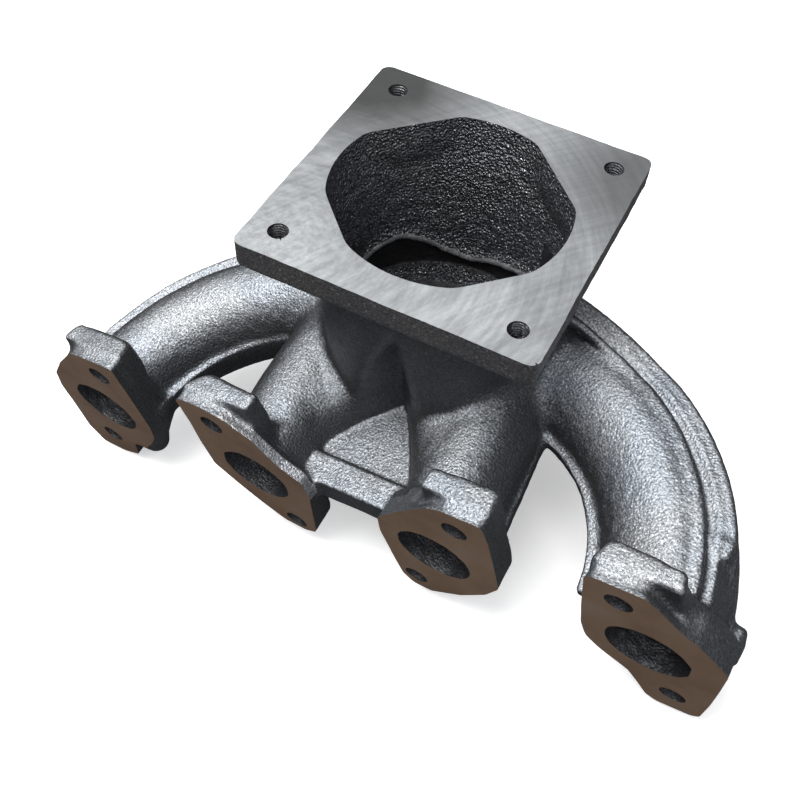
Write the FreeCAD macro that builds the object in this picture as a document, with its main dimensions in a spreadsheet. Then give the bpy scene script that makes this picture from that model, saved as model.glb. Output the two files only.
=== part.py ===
import FreeCAD, Part
import math
import os
import Sketcher

# One-piece cast four-cylinder exhaust manifold, written out piece by piece.
# Frame: X along the port row from port 1 to port 4, Y away from the cylinder
# head, Z up.  Origin: the centre of port 1 on the head face.  Millimetres.
# Runners 1 and 4 bend inwards to a cross tube (the log) at the foot of the
# collector; runners 2 and 3 run out to it along Y.  The outlet plate is on top.

V = FreeCAD.Vector
Rotation = FreeCAD.Rotation
Placement = FreeCAD.Placement

# ---- sizes ---------------------------------------------------------------
# "r" is a radius, "thk" a thickness, "half" half a width.
SIZES = {
    "pitch": 86.0,             # port to port
    # port flanges
    "port_bore_r": 15.6,       # gas bore at the head face
    "stud_r": 5.2,             # clearance hole for an M10 stud
    "flange_thk": 14.0,
    "flange_round": 5.0,       # outline corners
    # runners
    "tube_r": 20.6,            # runners 2 and 3, outside
    "tube_bore_r": 16.0,
    "tube3_lean": 5.0,         # degrees, runner 3 towards the middle of the row
    "tube3_start_y": -5.0,     # outside of runner 3, lets its leaning end reach the flange
    "bend_r": 21.6,            # runners 1 and 4, outside
    "bend_bore_r": 16.4,
    "turn_cy": 4.3,            # Y of the bend centres
    "turn_r": 87.7,            # bend centre to runner centre line
    "turn_angle": 90.0,
    # flat ribs around the outer bends and fins inside them
    "rib_thk": 11.5,
    "rib_z": 2.0,              # underside
    "rib1_out": 110.5,         # bend centre to rib edge
    "rib4_out": 110.5,
    "fin_in": 57.2,            # bend centre to fin edge
    "fin_thk": 5.0,
    # outlet plate, in its own plane
    "outlet_x": 10.6,          # plate centre from the middle of the row
    "outlet_y": 100.9,
    "outlet_z": 81.8,
    "plate_x": 117.0,
    "plate_y": 118.0,
    "plate_thk": 11.5,
    "plate_round": 3.5,
    "overshoot": 0.5,          # cutters past each face of the plate
    "tap_half": 46.5,          # tapped hole square
    "tap_r": 3.4,              # M8 core
    "opening_r": 46.5,
    "opening_flat": 42.8,      # opening centre to its four flats
    # collector: a neck under the plate, with a chamber in it, and the log
    "neck_top_r": 51.5,
    "neck_low_r": 45.5,
    "neck_len": 83.0,
    "cham_low_r": 40.0,
    "cham_len": 77.0,
    "log_r": 22.4,
    "log_bore_r": 17.2,
    "log_half": 44.0,
    # hollow in the head side of the collector, between runners 2 and 3
    "recess_x": -5.5,          # low end, from the middle of the row
    "recess_y": 41.5,
    "recess_z": -24.0,
    "recess_low_r": 16.0,
    "recess_top_r": 2.5,
    "recess_len": 84.0,
    "recess_wall": 5.0,        # metal left between hollow and chamber
    # web and bar between runners 2 and 3; the bar ends where the web starts
    "web_half": 26.0,
    "web_y0": 19.0,
    "web_y1": 62.0,
    "web_z": -3.0,
    "web_thk": 5.0,
    "bar_y0": 8.0,
    "bar_z": -8.0,
    "bar_thk": 13.0,
    # block on the outer side of port flange 4
    "lug_from_port": 17.0,     # near side, from port 4's centre
    "lug_low_z": -18.0,
    "lug_x": 12.0,
    "lug_y": 13.0,
    "lug_z": 13.0,
}

PORTS = (1, 2, 3, 4)
SIDE = {1: -1, 4: 1}           # which way along X each bend lies from the middle

# upper stud hole from the bore centre (x, z); the lower one is opposite
STUD = {1: (15.0, 32.7), 2: (-9.4, 33.1), 3: (15.0, 32.7), 4: (-9.4, 33.1)}

# flange corners before rounding, from the bore centre (x, z)
OUTLINE = {
    1: [(-28.8, 9.5), (3.0, 45.2), (28.8, 45.2), (26.2, -9.5),
        (-2.4, -35.0), (-5.6, -49.7), (-33.5, -49.7)],
    2: [(-24.2, 45.6), (1.8, 45.6), (13.0, 33.0), (19.5, 17.5),
        (28.0, 13.0), (28.0, -1.0), (19.4, -42.5), (-2.0, -42.0), (-26.8, -10.5)],
    3: [(-24.5, 11.0), (8.6, 46.0), (28.4, 46.0), (27.7, -9.0),
        (-9.0, -46.5), (-24.0, -44.5)],
    4: [(-22.8, 46.2), (2.8, 46.2), (11.0, 33.0), (28.6, 12.5),
        (25.8, -14.0), (19.6, -48.6), (-2.4, -49.0), (-6.5, -31.0), (-24.6, -12.0)],
}
for port in PORTS:
    SIZES["stud_%d_across" % port], SIZES["stud_%d_up" % port] = STUD[port]
    for i, (x, z) in enumerate(OUTLINE[port]):
        SIZES["outline_%d_%d_across" % (port, i)] = x
        SIZES["outline_%d_%d_up" % (port, i)] = z

doc = FreeCAD.newDocument("exhaust_manifold")
sheet = doc.addObject("Spreadsheet::Sheet", "Sizes")
for row, (alias, value) in enumerate(SIZES.items(), 1):
    sheet.set("A%d" % row, alias)
    sheet.set("B%d" % row, "%.5f" % value)
    sheet.setAlias("B%d" % row, alias)
doc.recompute()

# ---- places and directions -----------------------------------------------
MIDDLE = 1.5 * SIZES["pitch"]          # middle of the row; the bends mirror about it
TURN_X = MIDDLE - SIZES["turn_r"]      # bend centres from the middle, so bends meet ports 1, 4
LOG_Y = SIZES["turn_cy"] + SIZES["turn_r"]
PLATE_BACK = -SIZES["plate_thk"]       # underside of the plate, in its own frame
CUTTER_START = PLATE_BACK - SIZES["overshoot"]

X_TO_Y = Rotation(V(0, 0, 1), 90)
Z_TO_Y = Rotation(V(1, 0, 0), -90)
Z_TO_X = Rotation(V(0, 1, 0), 90)
RECESS_LEAN = Rotation(V(0, 0, 1), V(17.0, 5.0, 75.0))

# The outlet plate's axes; its top face is its local XY plane.
plate_x_axis = V(0.9782, 0.0470, -0.2021)
plate_y_axis = V(-0.0797, 0.9845, -0.1566)
plate_normal = plate_x_axis.cross(plate_y_axis)
plate_normal.normalize()
plate_y_axis = plate_normal.cross(plate_x_axis)
plate_y_axis.normalize()
plate_centre = V(MIDDLE + SIZES["outlet_x"], SIZES["outlet_y"], SIZES["outlet_z"])
PLATE_FRAME = Placement(FreeCAD.Matrix(
    plate_x_axis.x, plate_y_axis.x, plate_normal.x, plate_centre.x,
    plate_x_axis.y, plate_y_axis.y, plate_normal.y, plate_centre.y,
    plate_x_axis.z, plate_y_axis.z, plate_normal.z, plate_centre.z,
    0, 0, 0, 1))


def at(x, y, z, rotation=Rotation()):
    return Placement(V(x, y, z), rotation)


def on_plate(x, y, z, rotation=Rotation()):
    return PLATE_FRAME.multiply(at(x, y, z, rotation))


def bend_place(port, z):
    """Bend centre, turned so a quarter sweep runs between the port and the log."""
    turn = Rotation() if SIDE[port] > 0 else X_TO_Y
    return at(MIDDLE + SIDE[port] * TURN_X, SIZES["turn_cy"], z, turn)


# ---- building helpers ----------------------------------------------------
def primitive(kind, name, place, **properties):
    """A Part primitive; text properties are bound as expressions."""
    obj = doc.addObject("Part::" + kind, name)
    for prop, value in properties.items():
        if isinstance(value, str):
            obj.setExpression(prop, value)
        else:
            setattr(obj, prop, value)
    obj.Placement = place
    return obj


def cut(name, base, tool):
    obj = doc.addObject("Part::Cut", name)
    obj.Base = base
    obj.Tool = tool
    return obj


def fuse(name, shapes):
    obj = doc.addObject("Part::MultiFuse", name)
    obj.Shapes = shapes
    return obj


def sketch_on(body, role, name):
    sketch = body.newObject("Sketcher::SketchObject", name)
    plane = next(f for f in body.Origin.OriginFeatures if f.Role == role)
    sketch.AttachmentSupport = [(plane, "")]
    sketch.MapMode = "FlatFace"
    return sketch


def drive(sketch, expression, *constraint):
    """Add a dimension and bind it to the sheet."""
    index = sketch.addConstraint(Sketcher.Constraint(*constraint))
    sketch.setExpression("Constraints[%d]" % index, expression)


def closed_outline(sketch, corners):
    count = len(corners)
    for i in range(count):
        start, end = corners[i], corners[(i + 1) % count]
        sketch.addGeometry(Part.LineSegment(V(*start, 0), V(*end, 0)), False)
    for i in range(count):
        sketch.addConstraint(Sketcher.Constraint("Coincident", i, 2, (i + 1) % count, 1))


def reversed_pad(body, name, sketch, length):
    pad = body.newObject("PartDesign::Pad", name)
    pad.Profile = sketch
    pad.setExpression("Length", length)
    pad.Reversed = True
    doc.recompute()
    return pad


def round_corners(body, name, pad, corners, axis, radius):
    """Fillet the pad's edges that run along axis through the given corners."""
    edges = []
    for i, edge in enumerate(pad.Shape.Edges, 1):
        if len(edge.Vertexes) != 2:
            continue
        start, end = [vertex.Point for vertex in edge.Vertexes]
        if (end - start).cross(axis).Length > 1e-6:
            continue
        if min((start - corner).cross(axis).Length for corner in corners) < 1e-3:
            edges.append("Edge%d" % i)
    fillet = body.newObject("PartDesign::Fillet", name)
    fillet.Base = (pad, edges)
    fillet.setExpression("Radius", radius)
    body.Tip = fillet


# ---- port flanges --------------------------------------------------------
def add_hole(sketch, x, z, radius):
    circle = Part.Circle(V(x, z, 0), V(0, 0, 1), SIZES[radius])
    hole = sketch.addGeometry(circle, False)
    drive(sketch, "Sizes." + radius, "Radius", hole, SIZES[radius])
    return hole


def port_flange(port):
    body = doc.addObject("PartDesign::Body", "port_flange_%d" % port)
    sketch = sketch_on(body, "XZ_Plane", "outline_%d" % port)
    corners = OUTLINE[port]
    closed_outline(sketch, corners)
    for i, (x, z) in enumerate(corners):
        alias = "Sizes.outline_%d_%d_" % (port, i)
        drive(sketch, alias + "across", "DistanceX", -1, 1, i, 1, x)
        drive(sketch, alias + "up", "DistanceY", -1, 1, i, 1, z)

    bore = add_hole(sketch, 0, 0, "port_bore_r")
    sketch.addConstraint(Sketcher.Constraint("Coincident", bore, 3, -1, 1))
    across, up = STUD[port]
    for sign, prefix in ((1, ""), (-1, "-")):
        x, z = sign * across, sign * up
        alias = prefix + "Sizes.stud_%d_" % port
        stud = add_hole(sketch, x, z, "stud_r")
        drive(sketch, alias + "across", "DistanceX", -1, 1, stud, 3, x)
        drive(sketch, alias + "up", "DistanceY", -1, 1, stud, 3, z)

    # The XZ plane faces -Y, so the reversed pad grows away from the head.
    pad = reversed_pad(body, "flange_pad_%d" % port, sketch, "Sizes.flange_thk")
    round_corners(body, "flange_round_%d" % port, pad, [V(x, 0, z) for x, z in corners],
                  V(0, 1, 0), "Sizes.flange_round")
    body.setExpression("Placement.Base.x", "%d * Sizes.pitch" % (port - 1))
    return body


NODES = {}
for port in PORTS:
    NODES["port_flange_%d" % port] = port_flange(port)
doc.recompute()


# ---- outlet plate --------------------------------------------------------
def plate_blank():
    body = doc.addObject("PartDesign::Body", "plate_blank")
    sketch = sketch_on(body, "XY_Plane", "plate_outline")
    half_x, half_y = SIZES["plate_x"] / 2, SIZES["plate_y"] / 2
    corners = [(-half_x, -half_y), (half_x, -half_y), (half_x, half_y), (-half_x, half_y)]
    closed_outline(sketch, corners)
    for side, direction in enumerate(("Horizontal", "Vertical", "Horizontal", "Vertical")):
        sketch.addConstraint(Sketcher.Constraint(direction, side))
    sketch.addConstraint(Sketcher.Constraint("Symmetric", 0, 1, 1, 2, -1, 1))
    drive(sketch, "Sizes.plate_x", "DistanceX", 0, 1, 0, 2, SIZES["plate_x"])
    drive(sketch, "Sizes.plate_y", "DistanceY", 1, 1, 1, 2, SIZES["plate_y"])
    pad = reversed_pad(body, "plate_pad", sketch, "Sizes.plate_thk")
    round_corners(body, "plate_corner_round", pad, [V(x, y, 0) for x, y in corners],
                  V(0, 0, 1), "Sizes.plate_round")
    body.Placement = PLATE_FRAME
    doc.recompute()
    return body


def plate_holes():
    """A round opening with a flat facing each of the four tapped holes."""
    through = "Sizes.plate_thk + 2 * Sizes.overshoot"
    opening = doc.addObject("Part::Common", "opening_profile")
    opening.Base = primitive("Cylinder", "opening_round", on_plate(0, 0, CUTTER_START),
                             Radius="Sizes.opening_r", Height=through)
    corner_y = -SIZES["opening_flat"] * math.sqrt(2)
    opening.Tool = primitive(
        "Box", "opening_flats",
        on_plate(0, corner_y, CUTTER_START, Rotation(V(0, 0, 1), 45)),
        Length="2 * Sizes.opening_flat", Width="2 * Sizes.opening_flat", Height=through)
    taps = []
    for letter, side_x, side_y in (("a", -1, -1), ("b", -1, 1), ("c", 1, 1), ("d", 1, -1)):
        place = on_plate(side_x * SIZES["tap_half"], side_y * SIZES["tap_half"], CUTTER_START)
        taps.append(primitive("Cylinder", "tap_" + letter, place,
                              Radius="Sizes.tap_r", Height=through))
    return fuse("plate_holes", [opening] + taps)


NODES["outlet_flange"] = cut("outlet_flange", plate_blank(), plate_holes())


# ---- runner and collector shapes, used for both metal and gas ------------
def bend(name, port, radius):
    return primitive("Torus", name, bend_place(port, 0), Radius1="Sizes.turn_r",
                     Radius2="Sizes." + radius, Angle3="Sizes.turn_angle")


def tube(name, port, start_y, radius):
    lean = Rotation(V(0, 0, 1), SIZES["tube3_lean"] if port == 3 else 0.0)
    place = at((port - 1) * SIZES["pitch"], start_y, 0, lean.multiply(Z_TO_Y))
    return primitive("Cylinder", name, place, Radius="Sizes." + radius,
                     Height=LOG_Y - start_y)


def neck_cone(name, low_radius, top_radius, length):
    """A cone that widens up to the underside of the plate."""
    return primitive("Cone", name, on_plate(0, 0, PLATE_BACK - SIZES[length]),
                     Radius1="Sizes." + low_radius, Radius2="Sizes." + top_radius,
                     Height="Sizes." + length)


def log(name, radius):
    return primitive("Cylinder", name, at(MIDDLE - SIZES["log_half"], LOG_Y, 0, Z_TO_X),
                     Radius="Sizes." + radius, Height="2 * Sizes.log_half")


def recess(name, extra=""):
    place = at(MIDDLE + SIZES["recess_x"], SIZES["recess_y"], SIZES["recess_z"], RECESS_LEAN)
    return primitive("Cone", name, place, Radius1="Sizes.recess_low_r" + extra,
                     Radius2="Sizes.recess_top_r" + extra, Height="Sizes.recess_len")


# Trimming zones: everything up to the flanges' outer face, and from the
# plate's underside upwards.
ZONE_DEPTH = 60
flange_zone = primitive("Box", "flange_zone", at(MIDDLE - 250, 0, -100),
                        Length=500, Width=ZONE_DEPTH, Height=200)
flange_zone.setExpression("Placement.Base.y", "Sizes.flange_thk - %d" % ZONE_DEPTH)
plate_zone = primitive("Box", "plate_zone", on_plate(-150, -150, PLATE_BACK),
                       Length=300, Width=300, Height=80)

collector_full = fuse("collector_full", [
    neck_cone("neck_solid", "neck_low_r", "neck_top_r", "neck_len"),
    log("log_solid", "log_r")])
collector_solid = cut("collector_solid", collector_full, recess("front_hollow"))
runner_solid = {
    1: bend("bend_solid_1", 1, "bend_r"),
    4: bend("bend_solid_4", 4, "bend_r"),
    2: tube("tube_solid_2", 2, 0, "tube_r"),
    3: tube("tube_solid_3", 3, SIZES["tube3_start_y"], "tube_r"),
}

# ---- gas space -----------------------------------------------------------
chamber = neck_cone("chamber_space", "cham_low_r", "opening_r", "cham_len")
chamber_clear = cut("chamber_clear", chamber,
                    recess("front_hollow_wall", " + Sizes.recess_wall"))
gas = fuse("gas_space", [
    chamber_clear,
    log("log_space", "log_bore_r"),
    bend("bend_space_1", 1, "bend_bore_r"),
    bend("bend_space_4", 4, "bend_bore_r"),
    tube("tube_space_2", 2, 0, "tube_bore_r"),
    tube("tube_space_3", 3, 0, "tube_bore_r")])

# ---- collector and runners -----------------------------------------------
NODES["collector"] = cut("collector", cut("collector_trim", collector_solid, plate_zone), gas)

# runner, then the bends cut away from it
for port, bends in ((1, []), (4, []), (2, [runner_solid[1]]), (3, [runner_solid[4]])):
    tools = fuse("runner_tools_%d" % port, [flange_zone, collector_solid, gas] + bends)
    name = "runner_%d" % port
    NODES[name] = cut(name, runner_solid[port], tools)


# ---- outer ribs and inner fins -------------------------------------------
def curved_plate(node, kind, port, out_radius, thickness, z, in_radius, neighbours):
    """A flat quarter ring about a bend centre, trimmed to what it meets."""
    core = primitive("Cylinder", "%s_core_%d" % (kind, port),
                     at(MIDDLE + SIDE[port] * TURN_X, SIZES["turn_cy"], -20),
                     Radius="Sizes." + in_radius, Height=40)
    tools = fuse("%s_tools_%d" % (kind, port),
                 [core] + neighbours + [flange_zone, collector_solid])
    blank = primitive("Cylinder", "%s_blank_%d" % (kind, port), bend_place(port, z),
                      Radius="Sizes." + out_radius, Height="Sizes." + thickness,
                      Angle="Sizes.turn_angle")
    name = "%s_%d" % (node, port)
    NODES[name] = cut(name, blank, tools)


for port in (1, 4):
    curved_plate("outer_rib", "rib", port, "rib%d_out" % port, "rib_thk", SIZES["rib_z"],
                 "turn_r", [runner_solid[port]])
for port, next_port in ((1, 2), (4, 3)):
    curved_plate("inner_fin", "fin", port, "turn_r", "fin_thk", -SIZES["fin_thk"] / 2,
                 "fin_in", [runner_solid[port], runner_solid[next_port]])


# ---- web and bar between runners 2 and 3 ---------------------------------
def middle_block(kind, start_y, end_y):
    place = at(MIDDLE - SIZES["web_half"], SIZES[start_y], SIZES[kind + "_z"])
    return primitive("Box", kind + "_blank", place, Length="2 * Sizes.web_half",
                     Width="Sizes.%s - Sizes.%s" % (end_y, start_y),
                     Height="Sizes.%s_thk" % kind)


middle_runners = [runner_solid[2], runner_solid[3]]
web_tools = fuse("web_tools", middle_runners + [collector_solid])
NODES["web_plate"] = cut("web_plate", middle_block("web", "web_y0", "web_y1"), web_tools)
bar_tools = fuse("bar_tools",
                 middle_runners + [NODES["port_flange_2"], NODES["port_flange_3"]])
NODES["web_bar"] = cut("web_bar", middle_block("bar", "bar_y0", "web_y0"), bar_tools)

# ---- small lug on the outer face of port flange 4 ------------------------
lug = primitive("Box", "lug_blank",
                at(3 * SIZES["pitch"] + SIZES["lug_from_port"], SIZES["flange_thk"],
                   SIZES["lug_low_z"]),
                Length="Sizes.lug_x", Width="Sizes.lug_y", Height="Sizes.lug_z")
lug_tools = fuse("lug_tools", [runner_solid[4], NODES["outer_rib_4"]])
NODES["side_lug"] = cut("side_lug", lug, lug_tools)

doc.recompute()

# ---- check and write -----------------------------------------------------
bad = []
for name, node in sorted(NODES.items()):
    node.Label = name
    state = list(node.State)
    shape = node.Shape
    if ("Invalid" in state or "Error" in state or shape.isNull()
            or not shape.isValid() or len(shape.Solids) != 1):
        bad.append((name, state))
if bad:
    raise RuntimeError("bad nodes: %r" % (bad,))

os.makedirs("parts", exist_ok=True)
for name, node in sorted(NODES.items()):
    node.Shape.Solids[0].exportStep("parts/%s.step" % name)
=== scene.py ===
# Cast four-into-one manifold. The four port flanges stand in a row along x with their milled
# faces on y = 0, the runners go back along +y and meet in a collector, and the collector opens
# upwards (+z) through a tilted square plate. The frame's origin is the middle of port 1.
# The casting is shaped as distance fields in mm, with x = 0 at the middle of the row, then
# skinned, shifted to port 1 and scaled to metres. Distances are negative inside the shape.
import itertools
import math

import bpy
import numpy as np
from mathutils import Matrix, Vector


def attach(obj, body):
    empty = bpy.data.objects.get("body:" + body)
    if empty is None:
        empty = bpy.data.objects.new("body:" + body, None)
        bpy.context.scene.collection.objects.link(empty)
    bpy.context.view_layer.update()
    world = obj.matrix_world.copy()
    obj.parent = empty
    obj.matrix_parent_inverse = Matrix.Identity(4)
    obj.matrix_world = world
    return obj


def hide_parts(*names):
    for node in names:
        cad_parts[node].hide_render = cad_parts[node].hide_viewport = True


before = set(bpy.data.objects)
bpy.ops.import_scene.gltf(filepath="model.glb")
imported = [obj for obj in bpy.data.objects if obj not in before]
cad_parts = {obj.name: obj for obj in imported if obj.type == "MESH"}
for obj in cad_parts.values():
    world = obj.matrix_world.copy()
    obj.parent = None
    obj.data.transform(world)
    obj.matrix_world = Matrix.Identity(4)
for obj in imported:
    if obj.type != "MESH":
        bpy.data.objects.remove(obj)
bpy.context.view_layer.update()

# ------------------------------------------------------------------ sizes (mm)
MM = 1000.0                             # mm in a metre
PITCH = 86.0
PORTS = (1, 2, 3, 4)
PORT_X = {port: (port - 2.5) * PITCH for port in PORTS}
SHIFT = PORT_X[4]                       # from the row's middle to the frame's origin
BEND_X, BEND_Y = 41.3, 4.3              # centre of the outer bends, x mirrored for port 1
BEND_RADIUS = PORT_X[4] - BEND_X
BEND_RISE = 3.0                         # climb of the bend's centre line over its quarter turn

# tubes: radius at the port, growth on the way to the collector
BEND_OUTER, BEND_BORE = (21.0, 1.4), (15.8, 1.6)
MIDDLE_OUTER, MIDDLE_BORE = (20.7, 1.5), (15.7, 0.0)

FLANGE_THICKNESS = 14.0
PORT_RADIUS = 15.6
STUD_RADIUS = 5.15
STUDS = {1: (15.0, 32.7), 3: (15.0, 32.7), 2: (-9.4, 33.1), 4: (-9.4, 33.1)}  # upper stud, x and z

# outlet plate: centre of its top face, directions u and v along the face, normal w out of it
FACE_CENTRE = np.array([10.6, 100.9, 81.8])
FACE_U = np.array([0.9782, 0.0470, -0.2021])
FACE_V = np.array([-0.0797, 0.9845, -0.1566])
FACE_W = np.cross(FACE_U, FACE_V)
FACE_W /= np.linalg.norm(FACE_W)
FACE_V = np.cross(FACE_W, FACE_U)
FACE_V /= np.linalg.norm(FACE_V)
FACE_U /= np.linalg.norm(FACE_U)
PLATE_THICKNESS = 11.5
MOUTH_RADIUS = 46.4
MOUTH_OFFSET = 1.2                      # mouth centre, towards -u and +v
HOLE_OFFSET = 46.5                      # corner holes, along u and v
HOLE_RADIUS = 3.95
CORNERS = ((-1, -1), (-1, 1), (1, 1), (1, -1))

# flange outlines: x from the port's middle and z, both in port pitches
OUTLINES = {
    1: [(-.261, .176), (-.123, .341), (.05, .505), (.131, .52), (.320, .52), (.334, .505),
        (.32, .273), (.294, -.023), (.256, -.147), (.17, -.255), (-.014, -.388), (-.062, -.531),
        (-.198, -.579), (-.352, -.569), (-.385, -.424), (-.342, -.168), (-.318, .023)],
    2: [(-.272, .50), (-.245, .527), (-.109, .53), (.006, .50), (.128, .409), (.22, .230),
        (.317, .153), (.322, .016), (.225, -.40), (.208, -.445), (.135, -.478), (.01, -.462),
        (-.115, -.349), (-.204, -.245), (-.306, -.102), (-.297, .128), (-.276, .306)],
    3: [(-.281, .012), (-.258, .159), (-.092, .349), (.063, .5), (.14, .533), (.310, .535),
        (.328, .52), (.335, .399), (.329, .204), (.322, .025), (.313, -.069), (.226, -.212),
        (.07, -.375), (-.119, -.51), (-.22, -.50), (-.262, -.43), (-.270, -.286), (-.276, -.14)],
    4: [(-.26, .36), (-.245, .501), (-.215, .532), (-.001, .535), (.056, .479), (.133, .371),
        (.211, .30), (.30, .175), (.33, .124), (.304, -.076), (.272, -.30), (.232, -.511),
        (.192, -.548), (.031, -.567), (-.016, -.532), (-.047, -.439), (-.09, -.328),
        (-.215, -.211), (-.275, -.128), (-.287, .026), (-.276, .196)],
}

# pad over each upper stud: left x and right x (each at its front and at its back), top z,
# front y, x and depth of the dish in the flange, slope of the flange's right edge
PADS = {
    1: ((-4.4, -1.9), (28.2, 25.5), 44.7, 5.4, -4.0, 0.6, 0.0),
    2: ((-22.0, -16.0), (8.2, 8.9), 45.5, 6.2, 5.5, 3.0, 2.4),
    3: ((0.0, 0.4), (28.2, 26.9), 45.9, 5.6, 3.5, 2.4, 0.0),
    4: ((-21.0, -17.4), (10.4, 8.4), 46.0, 6.4, 5.5, 4.2, 0.10),
}

# lip on the chamber's far wall: angle round the outlet axis (radians), w
LIP_ANGLE, LIP_W = zip(
    (0.90, -63.0), (1.20, -67.0), (1.38, -69.0), (1.69, -73.9), (1.99, -69.8), (2.15, -65.6),
    (2.32, -61.9), (2.46, -61.0), (2.62, -62.8), (2.79, -65.6), (3.05, -68.0))

# ------------------------------------------------------------------ sampling grid
STEP = 0.8
LOW = np.array([-164.0, -3.0, -52.0])
HIGH = np.array([162.0, 165.0, 106.0])
GRIDS = [np.arange(low, high, STEP, dtype=np.float32) for low, high in zip(LOW, HIGH)]
ORIGIN = np.array([grid[0] for grid in GRIDS])
SHAPE = tuple(len(grid) for grid in GRIDS)
CELL_CORNERS = list(itertools.product((0, 1), repeat=3))
TOP_BOX = ((-60, 75), (30, 165), (40, 106))     # holds the outlet plate


def window(box):
    """The grid inside a box of (low, high) per axis: slices, and x, y, z that broadcast."""
    cut = tuple(slice(max(0, int(np.searchsorted(grid, low))),
                      min(len(grid), int(np.searchsorted(grid, high)) + 1))
                for grid, (low, high) in zip(GRIDS, box))
    return (cut, *np.ix_(*(grid[part] for grid, part in zip(GRIDS, cut))))


def bend_box(side, near, y_high, z_low, z_high):
    """Box round one outer bend; side is -1 for port 1 and 1 for port 4."""
    x_range = (-164, -near) if side < 0 else (near, 164)
    return x_range, (-3, y_high), (z_low, z_high)


def blend_min(a, b, width):
    """Union of two distances, with a fillet as wide as width."""
    overlap = np.maximum(width - np.abs(a - b), 0) / width
    return np.minimum(a, b) - overlap * overlap * width * 0.25


def blend_max(a, b, width):
    return -blend_min(-a, -b, width)


def add(field, shape, box, blend, *sizes):
    cut, x, y, z = window(box)
    field[cut] = blend_min(field[cut], shape(x, y, z, *sizes).astype(np.float32), blend)


def carve(field, shape, box, blend, *sizes):
    cut, x, y, z = window(box)
    field[cut] = blend_max(field[cut], -shape(x, y, z, *sizes).astype(np.float32), blend)


def noise_field(pitch, amplitude, seed):
    """Smooth random field over the grid: eased value noise on a coarse lattice."""
    count = [int((HIGH[axis] - LOW[axis]) / pitch) + 3 for axis in range(3)]
    field = np.random.default_rng(seed).standard_normal(count).astype(np.float32)
    for axis, grid in enumerate(GRIDS):
        place = (grid - LOW[axis]) / pitch
        cell = np.clip(np.floor(place).astype(int), 0, count[axis] - 2)
        part = (place - cell).astype(np.float32)
        part = part * part * (3 - 2 * part)
        shape = [1, 1, 1]
        shape[axis] = len(grid)
        part = part.reshape(shape)
        field = (np.take(field, cell, axis=axis) * (1 - part)
                 + np.take(field, cell + 1, axis=axis) * part)
    return field * amplitude


# ------------------------------------------------------------------ basic shapes
def rounded_rect(a, b, half_a, half_b, radius):
    qa, qb = np.abs(a) - half_a + radius, np.abs(b) - half_b + radius
    corner = np.hypot(np.maximum(qa, 0), np.maximum(qb, 0))
    return corner + np.minimum(np.maximum(qa, qb), 0) - radius


def rounded_box(x, y, z, centre, half, radius):
    qx, qy, qz = (np.abs(value - middle) - size + radius
                  for value, middle, size in zip((x, y, z), centre, half))
    corner = np.sqrt(np.maximum(qx, 0) ** 2 + np.maximum(qy, 0) ** 2 + np.maximum(qz, 0) ** 2)
    return corner + np.minimum(np.maximum(np.maximum(qx, qy), qz), 0) - radius


def capsule(x, y, z, start, end, radius):
    start = np.array(start, float)
    dx, dy, dz = along = np.array(end, float) - start
    x, y, z = x - start[0], y - start[1], z - start[2]
    t = np.clip((x * dx + y * dy + z * dz) / (along @ along), 0, 1)
    return np.sqrt((x - dx * t) ** 2 + (y - dy * t) ** 2 + (z - dz * t) ** 2) - radius


def polygon_distance(x, z, points):
    """Exact signed distance to a closed polygon on the (x, z) plane."""
    square = np.full(np.broadcast(x, z).shape, 1e9)
    sign = np.ones_like(square)
    for i in range(len(points)):
        (ax, az), (bx, bz) = points[i], points[i - 1]
        edge_x, edge_z = bx - ax, bz - az
        from_x, from_z = x - ax, z - az
        t = (from_x * edge_x + from_z * edge_z) / (edge_x * edge_x + edge_z * edge_z)
        t = np.clip(t, 0, 1)
        square = np.minimum(square, (from_x - edge_x * t) ** 2 + (from_z - edge_z * t) ** 2)
        above, below, left = z >= az, z < bz, edge_x * from_z > edge_z * from_x
        crossed = (above & below & left) | (~above & ~below & ~left)
        sign = np.where(crossed, -sign, sign)
    return sign * np.sqrt(square)


# ------------------------------------------------------------------ coordinates and tubes
def face_coords(x, y, z):
    """Coordinates u, v, w of the outlet plate."""
    dx, dy, dz = x - FACE_CENTRE[0], y - FACE_CENTRE[1], z - FACE_CENTRE[2]
    return tuple(dx * axis[0] + dy * axis[1] + dz * axis[2]
                 for axis in (FACE_U, FACE_V, FACE_W))


def bend_coords(x, y, z, side):
    """Across (+ is outside the bend) and up from a bend's centre line, and angle round it."""
    dx = x * side - BEND_X
    dy = y - BEND_Y
    angle = np.arctan2(dy, dx)
    reach = np.hypot(dx, dy)
    across = np.where(dy < 0, dx - BEND_RADIUS,
                      np.where(dx < 0, dy - BEND_RADIUS, reach - BEND_RADIUS))
    angle = np.clip(angle, 0, math.pi / 2)
    return across, z - BEND_RISE * (angle / (math.pi / 2)) ** 2, angle


def angle_span(angle, start, end, radius=BEND_RADIUS):
    """Distance outside a span of angles, measured along an arc of the radius."""
    return np.maximum(start - angle, angle - end) * radius


def bend_tube(x, y, z, side, radius, growth):
    """Long runner, running 2 mm past the middle of the row."""
    across, up, angle = bend_coords(x, y, z, side)
    radius = radius + growth * (angle / 1.57)
    return np.maximum(np.hypot(across, up) - radius, -(side * x) - 2.0)


def middle_x(y, port):
    """Centre line of runner 2 or 3, leaning inwards on its way back."""
    t = np.clip(y, 0, 95) / 60.0
    if port == 2:
        return PORT_X[2] - 1.2 * t + 5.0 * np.clip(t - 0.55, 0, 1) ** 1.5
    return PORT_X[3] - 6.0 * t


def middle_tube(x, y, z, port, radius, growth):
    """Short runner, ending at y = 92."""
    radius = radius + growth * np.clip((y - 20) / 60.0, 0, 1)
    rise = 2.0 * np.clip(y / 80, 0, 1)
    return np.maximum(np.hypot(x - middle_x(y, port), z - rise) - radius, y - 92.0)


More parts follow.
